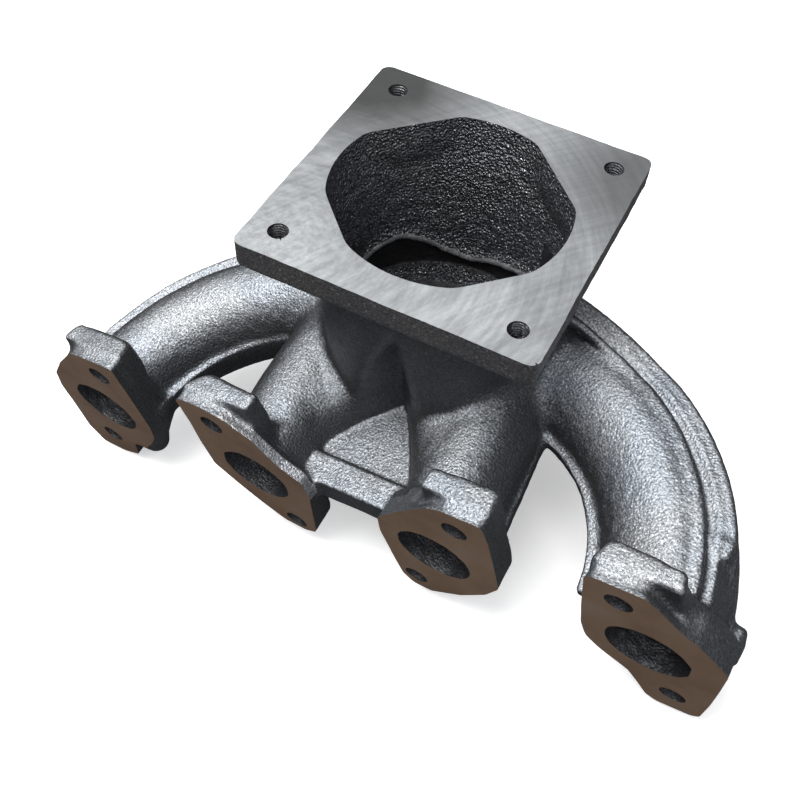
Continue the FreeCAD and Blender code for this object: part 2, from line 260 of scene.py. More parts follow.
# ------------------------------------------------------------------ collector
def neck(x, y, z):
    """Outside of the collector; its port side narrows with depth."""
    u, v, w = face_coords(x, y, z)
    depth = np.clip((-PLATE_THICKNESS - w) / 83.0, 0, 1)
    port_side = np.clip(0.5 - v / 30.0, 0, 1)
    radius = 51.2 - (1.2 * depth + 4.8 * depth * depth) * port_side
    wall = np.hypot(u - 1.8 * depth, v) - radius
    wall = np.maximum(wall, w + PLATE_THICKNESS - 3.0)
    return blend_max(wall, -(w + 95.0), 16.0)


def chamber(x, y, z):
    """Gas space of the collector."""
    u, v, w = face_coords(x, y, z)
    depth = np.clip((-PLATE_THICKNESS - w) / 77.0, 0, 1)
    port_side = np.clip(0.5 - v / 30.0, 0, 1)
    radius = 46.4 - (1.0 * depth + 2.6 * depth * depth) * port_side
    return blend_max(np.hypot(u, v) - radius, -(w + 88.5), 9.0)


def front_hollow(x, y, z):
    """Tent-shaped hollow in the collector's port side: narrow under the plate, wide below."""
    half = np.interp(z, (3, 15, 30, 45, 60, 68), (18.5, 20.0, 16.5, 12.0, 8.0, 2.0))
    apex_x = np.interp(z, (-20, 3, 15, 30, 45, 60), (-1.2, -1.2, -0.8, 2.6, 5.8, 11.4))
    apex_y = np.interp(z, (-20, 3, 15, 30, 45, 60, 68),
                       (54.0, 54.5, 57.0, 58.0, 56.5, 50.5, 44.0))
    ahead = apex_y - y
    taper = np.clip(1 - ahead / 34.0, 0, 1)
    wall = np.abs(x - apex_x) - half * (1 - taper * taper)
    wall = wall / np.sqrt(1 + (half / 17.0 * taper) ** 2)
    return np.maximum(blend_max(wall, -ahead, 4.0), z - 70.0)


def hollow_guard(x, y, z):
    """The hollow and 5 mm of metal round it, kept free of the gas space."""
    return front_hollow(x, y, z) - 5.0


def hollowed_neck(x, y, z):
    return blend_max(neck(x, y, z), -front_hollow(x, y, z), 5.0)


def plate(x, y, z):
    """Blank of the outlet plate, standing proud of the face that is milled off it."""
    u, v, w = face_coords(x, y, z)
    square = rounded_rect(u, v, half_a=58.5, half_b=59.0, radius=4.0)
    slab = np.abs(w + PLATE_THICKNESS / 2 - 2.0) - PLATE_THICKNESS / 2 - 2.0
    return blend_max(square, slab, 2.0)


def lip_height(angle):
    return np.interp(angle, LIP_ANGLE, LIP_W)


def lip_bead(x, y, z):
    """Raised bead along the lip in the chamber."""
    u, v, w = face_coords(x, y, z)
    angle = np.arctan2(v, u)
    bead = np.hypot(np.hypot(u, v) - 47.0, (w - lip_height(angle)) * 0.8) - 2.3
    return np.maximum(bead, angle_span(angle, 0.95, 3.0, 46.0))


def under_lip(x, y, z):
    """Undercut below the lip on the chamber's far wall, where the long runners enter."""
    u, v, w = face_coords(x, y, z)
    angle = np.arctan2(v, u)
    wall = blend_max(np.hypot(u, v) - 48.2, w - lip_height(angle), 1.0)
    wall = np.maximum(wall, -(w + 82.0))
    return np.maximum(wall, angle_span(angle, 0.95, 2.95, 46.0))


# one flat facing each corner hole: its direction in u and v, distance from the axis
MOUTH_FLATS = ((-0.7071, -0.7071, 44.4), (-0.7071, 0.7071, 43.7),
               (0.7071, 0.7071, 42.4), (0.7071, -0.7071, 42.6))


def mouth(u, v, w):
    """Round opening with four flats that fade out down the bore."""
    deep = np.clip((-w - 7.0) / 20.0, 0, 1)
    offset = MOUTH_OFFSET * (1 - deep)
    wall = np.hypot(u + offset, v - offset) - MOUTH_RADIUS
    for along_u, along_v, distance in MOUTH_FLATS:
        wall = blend_max(wall, u * along_u + v * along_v - distance - 5.0 * deep * deep, 1.0)
    return blend_max(wall, -(w + 45.0), 3.0)


# ------------------------------------------------------------------ ribs along the outer bends
def lift_of(angle):
    """Rise of the rib's top where it runs up to the collector."""
    return 13.0 * np.clip((angle - 1.05) / 0.45, 0, 1) ** 1.5


def ledge(x, y, z, side):
    """Upright rib on the outside of a bend."""
    across, up, angle = bend_coords(x, y, z, side)
    lift = lift_of(angle)
    if side < 0:
        grow = np.clip((angle - 0.10) / 1.15, 0, 1)
        across, half, start = across - 15.2 - 2.2 * grow, 2.6 + 2.2 * grow, 0.10
    else:
        lift = lift - 10.0 * np.clip((0.44 - angle) / 0.20, 0, 1) ** 1.6
        across, half, start = across - 17.4, 4.8, 0.20
    rib = rounded_rect(across, up - 7.0 - lift / 2, half, 8.2 + lift / 2, radius=1.5)
    return np.maximum(rib, angle_span(angle, start, 1.52))


def bead(x, y, z):
    """Round bead on top of runner 4, inside its rib."""
    across, up, angle = bend_coords(x, y, z, 1)
    cord = np.hypot(across - 9.8, up - 17.4 - lift_of(angle)) - 2.1
    return np.maximum(cord, angle_span(angle, 0.16, 1.50))


def gutter(x, y, z, side):
    """Groove along the inner edge of the rib."""
    across, up, angle = bend_coords(x, y, z, side)
    if side < 0:
        groove = np.hypot(across - 14.4, up - 17.3 - lift_of(angle)) - 3.7
    else:
        radius = 2.2 * np.clip((1.52 - angle) / 0.28, 0.05, 1)
        groove = np.hypot(across - 13.1, up - 16.6 - lift_of(angle)) - radius
    return np.maximum(groove, angle_span(angle, 0.14, 1.46))


def belly(x, y, z, side):
    """Long runners are egg-shaped in section: fuller inside the bend, low down."""
    across, up, angle = bend_coords(x, y, z, side)
    inward = (6.0 if side > 0 else 3.6) * np.clip((angle + 0.25) / 0.6, 0, 1)
    return np.maximum(np.hypot(across + inward, up + 3.0) - 20.3, -(side * x) - 2.0)


def low_strip(x, y, z):
    """Strip low on the outside of runner 4, near its flange."""
    across, up, angle = bend_coords(x, y, z, 1)
    strip = rounded_rect(across - 19.0, up + 2.5, half_a=4.2, half_b=2.6, radius=1.2)
    return np.maximum(np.maximum(strip, (angle - 0.42) * BEND_RADIUS), 4.0 - y)


def fin(x, y, z, side):
    """Flat fin on the inside of a bend."""
    across, up, angle = bend_coords(x, y, z, side)
    reach = (30.0 if side > 0 else 26.0) + 1.5 * np.cos(angle * 2.2 + 0.4)
    blade = rounded_rect(across + 15.0, up - 0.2, reach - 15.0, half_b=2.2, radius=0.9)
    return blend_max(blade, 9.0 - y, 2.0)


# ------------------------------------------------------------------ smaller features
def middle_fin(x, y, z, port, offset, half_width, half_height, end_y):
    """Thin parting edge on the outer side of a middle runner."""
    edge = np.maximum(np.abs(z) - half_height,
                      np.abs(x - middle_x(y, port) - offset) - half_width)
    return np.maximum(np.maximum(edge, y - end_y), 8.0 - y)


def arch(x, y, z):
    """Web that rounds off the corner between runners 3 and 4."""
    edge = blend_max(66.5 - y, -(np.hypot(x - 55.0, y - 62.5) - 6.5), 1.0)
    edge = np.maximum(edge, np.abs(x - 57.0) - 16.0)
    return blend_max(np.maximum(edge, y - 84.0), np.abs(z) - 2.4, 1.5)


def web(x, y, z):
    """Flat web between runners 2 and 3."""
    edge = np.maximum(np.abs(x + 1.0) - 30.0, np.abs(y - 40.0) - 24.0)
    return np.maximum(edge, np.abs(z + 0.4) - 2.4)


# rounded boxes: centre, half sizes, edge radius
BAR = ((-1.0, 12.8, -1.0), (32.0, 6.8, 6.6), 1.8)       # across the web's port end
LUG = ((151.3, 18.0, -8.5), (5.2, 5.4, 7.6), 2.4)       # outside of runner 4, at its flange
NUB = ((139.0, 40.5, 8.5), (4.2, 3.6, 6.4), 1.5)        # outside of runner 4, further round
# capsules: start, end, radius
SWELLS = (((-31.5, 41.0, 1.0), (-20.0, 59.6, 4.0), 15.5),
          ((29.5, 38.0, 1.0), (17.5, 59.0, 4.0), 15.5))
HEEL = ((-112.5, 9.0, -9.0), (-121.0, 6.6, -32.0), 6.2)  # low behind flange 1


def port_flange(x, y, z, port):
    """The flange outline run back, and a flat-topped pad over the upper stud."""
    points = [(PORT_X[port] + a * PITCH, b * PITCH) for a, b in OUTLINES[port]]
    edge = polygon_distance(*np.meshgrid(x.ravel(), z.ravel(), indexing="ij"), points)
    for _ in range(3):                                   # soften the outline's corners
        edge[1:-1, 1:-1] = (edge[1:-1, 1:-1] * 2 + edge[2:, 1:-1] + edge[:-2, 1:-1]
                            + edge[1:-1, 2:] + edge[1:-1, :-2]) / 6.0
    left, right, top, front, dish_x, dish_depth, slope = PADS[port]
    from_port = x - PORT_X[port]
    high = np.clip((z - 20.0) / 12.0, 0, 1)
    back = np.clip(y, 0, FLANGE_THICKNESS)
    dish = (0.85 * dish_depth * np.exp(-((from_port - dish_x) / 7.5) ** 2)
            * np.sin(np.pi * np.clip((back - 1.2) / 8.6, 0, 1)) * high)
    lean = slope * np.clip((from_port - 4.0) / 8.0, 0, 1) * np.clip((z + 8.0) / 8.0, 0, 1)
    side_wall = (edge[:, None, :] + 0.02 * back + 0.16 * back * high + dish
                 + lean * np.maximum(back - 4.4, 0))
    flange = blend_max(side_wall, y - FLANGE_THICKNESS, 3.0)
    flange = np.where(y > 4.4, flange / np.sqrt(1 + lean * lean), flange)

    t = np.clip((y - front) / (14.5 - front), 0, 1)
    pad = blend_max(left[0] + (left[1] - left[0]) * t - from_port,
                    from_port - (right[0] + (right[1] - right[0]) * t), 2.0)
    pad = blend_max(pad, np.maximum(front - y, y - 14.6), 2.4)
    pad = blend_max(pad, z - top, 2.2)
    pad = blend_max(pad, 24.0 - z, 8.0)
    return blend_min(flange, pad, 5.0)


# ------------------------------------------------------------------ outside of the casting
def outside_field():
    field = np.full(SHAPE, 60.0, np.float32)
    for side in (-1, 1):
        add(field, bend_tube, bend_box(side, -12, 130, -40, 45), 6.0, side, *BEND_OUTER)
    for port, x_range in ((2, (-80, 0)), (3, (0, 80))):
        add(field, middle_tube, (x_range, (-3, 95), (-40, 48)), 7.0, port, *MIDDLE_OUTER)
    add(field, hollowed_neck, ((-75, 85), (20, 165), (-45, 100)), 8.0)
    # the middle runners swell towards each other where they join the collector
    for swell in SWELLS:
        add(field, capsule, ((-55, 55), (10, 85), (-30, 35)), 5.0, *swell)

    for side in (-1, 1):
        box = bend_box(side, 20, 135, -40, 45)
        add(field, belly, box, 3.0, side)
        if side > 0:
            add(field, bead, box, 4.0)
        add(field, ledge, box, 3.0, side)
        carve(field, gutter, box, 2.0, side)
        add(field, fin, box, 3.5, side)
    add(field, low_strip, ((100, 164), (-3, 60), (-20, 20)), 2.5)

    # port, offset from the centre line, half width, half height, end y
    add(field, middle_fin, ((40, 80), (-3, 80), (-12, 12)), 2.5, 3, 18.5, 4.4, 2.2, 75.0)
    add(field, middle_fin, ((-80, -40), (-3, 80), (-12, 12)), 2.5, 2, -19.5, 2.6, 2.0, 72.0)
    add(field, arch, ((35, 80), (40, 95), (-12, 12)), 2.5)
    add(field, web, ((-36, 36), (10, 75), (-20, 20)), 2.2)
    add(field, rounded_box, ((-40, 40), (-3, 32), (-24, 24)), 1.5, *BAR)
    add(field, plate, ((-60, 80), (30, 165), (45, 106)), 4.0)
    for port in PORTS:
        box = ((PORT_X[port] - 45, PORT_X[port] + 45), (-3, 30), (-52, 52))
        add(field, port_flange, box, 4.0, port)
    add(field, rounded_box, ((135, 164), (-3, 40), (-30, 15)), 3.0, *LUG)
    add(field, rounded_box, ((125, 150), (25, 55), (-10, 25)), 2.5, *NUB)
    add(field, capsule, ((-140, -90), (-3, 35), (-50, 10)), 6.0, *HEEL)

    # skin texture of the sand mould, finer towards the milled port faces
    calm = np.clip(GRIDS[1] / 3.0, 0.15, 1)[None, :, None].astype(np.float32)
    field += noise_field(pitch=14.0, amplitude=0.16, seed=11) * calm
    field += noise_field(pitch=2.6, amplitude=0.06, seed=12) * calm
    return field


# ------------------------------------------------------------------ gas space and holes
def gas_field():
    field = np.full(SHAPE, 60.0, np.float32)
    for side in (-1, 1):
        add(field, bend_tube, bend_box(side, -12, 125, -30, 32), 3.0, side, *BEND_BORE)
    for port, x_range in ((2, (-70, -10)), (3, (10, 70))):
        add(field, middle_tube, (x_range, (-3, 95), (-25, 28)), 3.0, port, *MIDDLE_BORE)
    add(field, chamber, ((-60, 75), (30, 160), (-30, 106)), 4.0)
    lip_box = ((-60, 60), (60, 160), (-25, 50))
    add(field, under_lip, lip_box, 0.8)
    carve(field, lip_bead, lip_box, 1.5)
    carve(field, hollow_guard, ((-55, 55), (20, 75), (-40, 80)), 4.0)
    rough = noise_field(pitch=3.2, amplitude=0.20, seed=13)
    rough += noise_field(pitch=1.9, amplitude=0.16, seed=14)
    field += rough

    # the mouth takes over from the chamber above w = -24, and is smooth near the face
    cut, x, y, z = window(TOP_BOX)
    u, v, w = face_coords(x, y, z)
    fade = np.clip((-w - 3.0) / 4.0, 0, 1).astype(np.float32)
    field[cut] = np.minimum(np.maximum(field[cut], (w + 24.0).astype(np.float32)),
                            mouth(u, v, w).astype(np.float32) + rough[cut] * fade)
    field[cut] = np.maximum(field[cut], -hollow_guard(x, y, z).astype(np.float32))

    for side_u, side_v in CORNERS:
        wall = np.hypot(u - side_u * HOLE_OFFSET, v - side_v * HOLE_OFFSET) - HOLE_RADIUS
        field[cut] = np.minimum(field[cut], np.maximum(wall, -(w + 16.0)).astype(np.float32))
    for port in PORTS:
        stud_x, stud_z = STUDS[port]
        middle = PORT_X[port]
        cut, x, y, z = window(((middle - 40, middle + 40), (-3, 22), (-52, 52)))
        for sign in (1, -1):
            wall = np.hypot(x - middle - sign * stud_x, z - sign * stud_z) - STUD_RADIUS
            field[cut] = np.minimum(field[cut], np.maximum(wall, y - 18.0).astype(np.float32))
        wall = np.hypot(x - middle, z) - PORT_RADIUS
        field[cut] = np.minimum(field[cut], np.maximum(wall, y - 6.0).astype(np.float32))
    return field


SOLID = np.maximum(outside_field(), -gas_field())      # before the flat faces are milled


def milled_field():
    field = SOLID.copy()
    cut, x, y, z = window(TOP_BOX)
    field[cut] = np.maximum(field[cut], face_coords(x, y, z)[2].astype(np.float32))
    return np.maximum(field, -GRIDS[1][None, :, None])


# ------------------------------------------------------------------ skin as a mesh
def probe(points):
    """Trilinear value of the un-milled solid at points (n, 3)."""
    place = (points - ORIGIN) / STEP
    cell = np.clip(np.floor(place).astype(int), 0, np.array(SHAPE) - 2)
    part = place - cell
    value = np.zeros(len(points))
    for corner in CELL_CORNERS:
        share = np.where(corner, part, 1 - part)
        weight = share[:, 0] * share[:, 1] * share[:, 2]
        value += weight * SOLID[tuple((cell + corner).T)]
    return value


def slide_to_edge(points, axis_1, axis_2):
    """Slide points of a milled plane (spanned by two axes) onto the outline of the solid."""
    start = points.copy()
    start_error = np.abs(probe(points))
    reach = 0.35 * STEP
    for _ in range(6):
        value = probe(points)
        slope_1, slope_2 = (
            (probe(points + reach * axis) - probe(points - reach * axis)) / (2 * reach)
            for axis in (axis_1, axis_2))
        square = np.maximum(slope_1 * slope_1 + slope_2 * slope_2, 0.15)
        move = np.clip(-value / square, -0.5 * STEP, 0.5 * STEP)
        points = points + move[:, None] * (slope_1[:, None] * axis_1
                                           + slope_2[:, None] * axis_2)
    # points that went too far, or came no closer, go back
    lost = np.linalg.norm(points - start, axis=1) > 1.1 * STEP
    lost |= np.abs(probe(points)) > start_error
    points[lost] = start[lost]
    return points


def surface(field):
    """Surface nets: one vertex in each cell the skin crosses, one quad per crossed edge."""
    size = np.array(field.shape)
    inside = field < 0
    count = np.zeros(tuple(size - 1), np.int8)
    for corner in CELL_CORNERS:
        count += inside[tuple(slice(c, n - 1 + c) for c, n in zip(corner, size))]
    active = (count > 0) & (count < 8)
    cells = np.argwhere(active)
    number = np.full(active.shape, -1, np.int32)
    number[active] = np.arange(len(cells), dtype=np.int32)

    value = {corner: field[tuple((cells + corner).T)] for corner in CELL_CORNERS}
    total = np.zeros((len(cells), 3))
    crossings = np.zeros(len(cells))
    for corner in CELL_CORNERS:
        for axis in range(3):
            if corner[axis]:
                continue
            other = tuple(1 if i == axis else c for i, c in enumerate(corner))
            here, there = value[corner], value[other]
            crossed = (here < 0) != (there < 0)
            t = np.where(crossed, here / np.where(crossed, here - there, 1), 0)
            point = np.tile(np.array(corner, float), (len(cells), 1))
            point[:, axis] += t
            total[crossed] += point[crossed]
            crossings[crossed] += 1
    vertices = (cells + total / crossings[:, None]) * STEP + ORIGIN

    quads = []
    for axis in range(3):
        side_1, side_2 = (axis + 1) % 3, (axis + 2) % 3
        low, high = [slice(None)] * 3, [slice(None)] * 3
        low[axis], high[axis] = slice(0, -1), slice(1, None)
        first = inside[tuple(low)]
        edges = np.argwhere(first != inside[tuple(high)])
        kept = ((edges[:, side_1] > 0) & (edges[:, side_2] > 0)
                & (edges[:, side_1] < size[side_1] - 1) & (edges[:, side_2] < size[side_2] - 1))
        edges = edges[kept]
        ring = []
        for step_1, step_2 in ((-1, -1), (0, -1), (0, 0), (-1, 0)):
            cell = edges.copy()
            cell[:, side_1] += step_1
            cell[:, side_2] += step_2
            ring.append(number[tuple(cell.T)])
        ring = np.stack(ring, 1)
        outwards = ~first[tuple(edges.T)]
        ring[outwards] = ring[outwards][:, ::-1]
        quads.append(ring)
    return vertices, np.concatenate(quads)


def flatten_milled_faces(vertices, quads):
    """Make the milled planes dead flat and slide their rims onto the true outline."""
    snap = 0.62 * STEP
    vertices[vertices[:, 1] < snap, 1] = 0.0
    u, v, w = face_coords(*vertices.T)
    on_outlet = (w > -snap) & (np.abs(u) < 62) & (np.abs(v) < 62)
    vertices[on_outlet] -= w[on_outlet][:, None] * FACE_W[None, :]
    x_axis, z_axis = np.array([1.0, 0, 0]), np.array([0, 0, 1.0])
    for on_plane, axis_1, axis_2 in ((vertices[:, 1] < 1e-6, x_axis, z_axis),
                                     (on_outlet, FACE_U, FACE_V)):
        wall = ~on_plane[quads].all(1) & on_plane[quads].any(1)
        rim = np.zeros(len(vertices), bool)
        rim[quads[wall].ravel()] = True
        rim &= on_plane
        vertices[rim] = slide_to_edge(vertices[rim], axis_1, axis_2)


VERTICES, QUADS = surface(milled_field())
flatten_milled_faces(VERTICES, QUADS)
del SOLID

# ------------------------------------------------------------------ region of each face
TUBES = [("collector", neck, (), 1.5),              # name, shape, its sizes, handicap
         ("runner_1", bend_tube, (-1, *BEND_OUTER), 0.0),
         ("runner_2", middle_tube, (2, *MIDDLE_OUTER), 0.5),
         ("runner_3", middle_tube, (3, *MIDDLE_OUTER), 0.5),
         ("runner_4", bend_tube, (1, *BEND_OUTER), 0.0)]
FEATURES = [("outer_rib_1", ledge, (-1,)), ("outer_rib_4", ledge, (1,)),
            ("inner_fin_1", fin, (-1,)), ("inner_fin_4", fin, (1,)),
            ("web_plate", web, ()), ("web_bar", rounded_box, BAR),
            ("side_lug", rounded_box, LUG)]
PORT_REGIONS = {port: "port_flange_%d" % port for port in PORTS}
REGIONS = [entry[0] for entry in TUBES + FEATURES] + ["outlet_flange", *PORT_REGIONS.values()]

X, Y, Z = VERTICES[QUADS].mean(1).T                 # middle of each face
U, V, W = face_coords(X, Y, Z)


def face_regions():
    """Index into REGIONS for each face; later regions overrule earlier ones."""
    gaps = np.stack([shape(X, Y, Z, *sizes) + extra for _, shape, sizes, extra in TUBES])
    region = np.argmin(gaps, 0)
    off_tubes = np.min(gaps, 0) > 0.4
    region[(np.abs(X) < BEND_X) & (Y > 62) & (W < -PLATE_THICKNESS)] = 0
    for name, shape, sizes in FEATURES:
        region[(shape(X, Y, Z, *sizes) < 0.9) & off_tubes] = REGIONS.index(name)
    on_plate = (W > -PLATE_THICKNESS - 1.0) & (np.abs(U) < 60) & (np.abs(V) < 61)
    region[on_plate] = REGIONS.index("outlet_flange")
    for port, name in PORT_REGIONS.items():
        near_port = (Y < FLANGE_THICKNESS + 0.8) & (np.abs(X - PORT_X[port]) < 43)
        region[near_port & (region != REGIONS.index("web_bar"))] = REGIONS.index(name)
    return region


REGION = face_regions()

# ------------------------------------------------------------------ finish of each face
# material slots, in order
CAST, PORT_FACE, OUTLET_FACE, INSIDE, DRILLED, RIM_SHADE, DEEP_SHADE, BORE, LIP_HIGHLIGHT, FLANGE, EDGE_HIGHLIGHT = range(11)


def gas_distance():
    """Distance of each face from the gas space."""
    gas = np.minimum.reduce([
        bend_tube(X, Y, Z, -1, *BEND_BORE), bend_tube(X, Y, Z, 1, *BEND_BORE),
        middle_tube(X, Y, Z, 2, *MIDDLE_BORE), middle_tube(X, Y, Z, 3, *MIDDLE_BORE),
        chamber(X, Y, Z), under_lip(X, Y, Z)])
    gas = np.maximum(gas, -hollow_guard(X, Y, Z))
    throat = np.hypot(U + MOUTH_OFFSET, V - MOUTH_OFFSET) - (MOUTH_RADIUS + 0.2)
    gas = np.minimum(gas, np.where(W > -35, throat, 99))
    for port in PORTS:
        bore = np.hypot(X - PORT_X[port], Z) - (PORT_RADIUS + 0.1)
        gas = np.minimum(gas, np.where(Y < 8, bore, 99))
    return gas


def face_finishes():
    """Material slot of each face."""
    finish = np.zeros(len(QUADS), int)

    def paint(new, where, over=(CAST,)):
        finish[np.isin(finish, over) & where] = new

    paint(PORT_FACE, VERTICES[QUADS][:, :, 1].max(1) < 1e-6)
    paint(OUTLET_FACE, face_coords(*VERTICES.T)[2][QUADS].min(1) > -1e-6)
    paint(INSIDE, gas_distance() < 1.0)
    for port, (stud_x, stud_z) in STUDS.items():
        for sign in (1, -1):
            reach = np.hypot(X - PORT_X[port] - sign * stud_x, Z - sign * stud_z)
            paint(BORE, (reach < STUD_RADIUS + 0.45) & (Y < 19))
    for side_u, side_v in CORNERS:
        reach = np.hypot(U - side_u * HOLE_OFFSET, V - side_v * HOLE_OFFSET)
        paint(DRILLED, (reach < HOLE_RADIUS + 0.65) & (W > -17))
    for name in PORT_REGIONS.values():
        paint(FLANGE, (REGION == REGIONS.index(name)) & (Y < 9.0 + 4.0 * (Z > 25)))
    # the rough lip beside port face 2, painted light as a highlight
    paint(EDGE_HIGHLIGHT, (REGION == REGIONS.index(PORT_REGIONS[2])) & (Y < 4.6)
          & (X - PORT_X[2] > -2.0) & (Z > -2.5), over=(CAST, FLANGE))

    angle = np.arctan2(V, U)
    lip = lip_height(angle)
    # painted shade: the chamber below the lip and its bottom get a near-black material for the
    # shadow they lie in
    paint(DEEP_SHADE, (W < -40) & ((W < lip - 1.8) | (angle < 0.9)) & (W > -84), over=INSIDE)
    # painted highlight: the lip bead in the chamber gets a light material where it catches the
    # light
    paint(LIP_HIGHLIGHT, (np.abs(W - lip) < 1.5) & (angle > 0.95) & (W < -40), over=INSIDE)
    paint(DEEP_SHADE, (W < -80.0) & (V > -60), over=INSIDE)
    paint(INSIDE, (W < -82.0) & (np.hypot(U, V) > 41.5) & (V > 0) & (X < 45), over=DEEP_SHADE)
    paint(BORE, (Y < 30) | ((np.abs(X) > 45) & (W < -50)), over=INSIDE)
    # painted shade: the plate's sides get a dark material for the shade they stand in
    paint(RIM_SHADE, (W > -PLATE_THICKNESS - 0.5) & (np.maximum(np.abs(U), np.abs(V)) > 55.0)
          & (Y > 30) & (Z > 40))
    return finish


FINISH = face_finishes()


def corner_normals():
    """Smooth normals over the whole casting, with the milled planes kept crisp."""
    a, b, c, d = (VERTICES[QUADS[:, i]] for i in range(4))
    face_normals = np.cross(c - a, d - b)
    normals = np.zeros_like(VERTICES)
    soft = (FINISH != PORT_FACE) & (FINISH != OUTLET_FACE)
    for i in range(4):
        np.add.at(normals, QUADS[soft][:, i], face_normals[soft])
    normals /= np.maximum(np.linalg.norm(normals, axis=1), 1e-9)[:, None]
    normals = normals[QUADS]
    normals[FINISH == PORT_FACE] = np.array([0.0, -1.0, 0.0])
    normals[FINISH == OUTLET_FACE] = FACE_W
    return normals


NORMALS = corner_normals()
VERTICES[:, 0] += SHIFT


# ------------------------------------------------------------------ shader helpers
def new_material(name):
    material = bpy.data.materials.new(name)
    material.use_nodes = True
    tree = material.node_tree
    tree.nodes.clear()
    output = tree.nodes.new("ShaderNodeOutputMaterial")
    shader = tree.nodes.new("ShaderNodeBsdfPrincipled")
    tree.links.new(shader.outputs[0], output.inputs[0])
    return material, tree, shader


def feed(tree, socket, value):
    """Link a socket to an output, or set it to a number or an RGB colour."""
    if hasattr(value, "is_output"):
        tree.links.new(value, socket)
    else:
        socket.default_value = (*value, 1) if isinstance(value, tuple) else value


def node(tree, kind, vector=None, **inputs):
    made = tree.nodes.new(kind)
    if vector is not None:
        tree.links.new(vector, made.inputs["Vector"])
    for name, value in inputs.items():
        made.inputs[name].default_value = value
    return made


def noise(tree, vector, scale, detail=2.0, roughness=0.5):
    return node(tree, "ShaderNodeTexNoise", vector, Scale=scale, Detail=detail,
                Roughness=roughness).outputs["Fac"]


def ramp(tree, source, stops):
    """Colour ramp; a stop is a position and an RGB colour or a grey level."""
    made = tree.nodes.new("ShaderNodeValToRGB")
    while len(made.color_ramp.elements) < len(stops):
        made.color_ramp.elements.new(0.5)
    for element, (position, colour) in zip(made.color_ramp.elements, stops):
        element.position = position
        element.color = (*(colour if isinstance(colour, tuple) else (colour,) * 3), 1)
    tree.links.new(source, made.inputs[0])
    return made.outputs[0]


def mix(tree, factor, a, b, kind="MIX"):
    made = tree.nodes.new("ShaderNodeMix")
    made.data_type = "RGBA"
    made.blend_type = kind
    made.clamp_factor = True
    for index, value in ((0, factor), (6, a), (7, b)):
        feed(tree, made.inputs[index], value)
    return made.outputs[2]


def multiply(tree, colour, *others):
    for other in others:
        colour = mix(tree, 1.0, colour, other, "MULTIPLY")
    return colour


def maths(tree, operation, a, b=0.0):
    made = tree.nodes.new("ShaderNodeMath")
    made.operation = operation
    feed(tree, made.inputs[0], a)
    feed(tree, made.inputs[1], b)
    return made.outputs[0]


def bump(tree, shader, height, strength, distance):
    made = node(tree, "ShaderNodeBump", Strength=strength, Distance=distance)
    tree.links.new(height, made.inputs["Height"])
    tree.links.new(made.outputs[0], shader.inputs["Normal"])


def coords(tree):
    """Object coordinates in metres, from the middle of the port row."""
    source = tree.nodes.new("ShaderNodeTexCoord").outputs["Object"]
    return node(tree, "ShaderNodeMapping", source, Location=(-SHIFT / MM, 0, 0)).outputs[0]


# ------------------------------------------------------------------ cast skins
def painted_light_stops(*stops):
    """Ramp stops of the painted facing light, in a faintly blue grey."""
    return [(position, (level, level, level * 1.04)) for position, level in stops]


def painted_facing_light(tree, co, grain, stops):
    """Painted light and shade by facing: faces turned from the bright direction are painted dark,
    faces turned towards it are painted bright as a highlight.
    """
    facing = tree.nodes.new("ShaderNodeVectorMath")
    facing.operation = "DOT_PRODUCT"
    tree.links.new(tree.nodes.new("ShaderNodeNewGeometry").outputs["Normal"], facing.inputs[0])
    place = tree.nodes.new("ShaderNodeSeparateXYZ")
    tree.links.new(co, place.inputs[0])
    # the painted highlight's direction is upwards, turning towards the row's middle at both ends
    bright = tree.nodes.new("ShaderNodeCombineXYZ")
    bright.inputs[1].default_value = -0.25
    bright.inputs[2].default_value = 0.962
    tree.links.new(maths(tree, "MULTIPLY", place.outputs[0], -1.5), bright.inputs[0])
    tree.links.new(bright.outputs[0], facing.inputs[1])
    up = maths(tree, "ADD", maths(tree, "MULTIPLY", facing.outputs["Value"], 0.5), 0.5)
    speckle = maths(tree, "MULTIPLY", maths(tree, "SUBTRACT", grain, 0.5), 0.14)
    return ramp(tree, maths(tree, "ADD", up, speckle), stops)


def cast_material(name, dark, light, glint_colour, metallic, roughness, bumps,
                  glint_start=0.64, slope=None, lumps=0.0):
    """Grainy cast iron: dark to light grain, with painted glints on its highest grains."""
    material, tree, shader = new_material(name)
    co = coords(tree)
    cloud = noise(tree, co, scale=28.0, detail=3.0)
    medium = noise(tree, co, scale=430.0, detail=4.0, roughness=0.7)
    grain = noise(tree, co, scale=1150.0, detail=2.0, roughness=0.6)
    pits = node(tree, "ShaderNodeTexVoronoi", co, Scale=950.0 - 250.0 * lumps)
    colour = multiply(tree, ramp(tree, grain, [(0.34, dark), (0.66, light)]),
                      ramp(tree, cloud, [(0.35, (0.90, 0.92, 0.95)), (0.65, (1.05, 1.03, 1.0))]))
    # painted glints: the highest grains are lightened as if they caught the light
    glints = ramp(tree, grain, [(glint_start, 0), (glint_start + 0.08, 1)])
    colour = mix(tree, glints, colour, glint_colour)
    # painted light: the colour is darkened or lightened by which way each face is turned
    if slope:
        colour = multiply(tree, colour, painted_facing_light(tree, co, grain, slope))
    feed(tree, shader.inputs["Base Color"], colour)
    feed(tree, shader.inputs["Metallic"], metallic)
    feed(tree, shader.inputs["Roughness"],
         ramp(tree, medium, [(0.3, roughness + 0.1), (0.7, roughness - 0.08)]))
    height = maths(tree, "ADD", maths(tree, "MULTIPLY", medium, 0.25),
                   maths(tree, "MULTIPLY", grain, 0.8))
    height = maths(tree, "ADD", height,
                   maths(tree, "MULTIPLY", pits.outputs["Distance"], -0.6 - lumps))
    bump(tree, shader, height, strength=bumps, distance=0.0007 + 0.0012 * lumps)
    return material


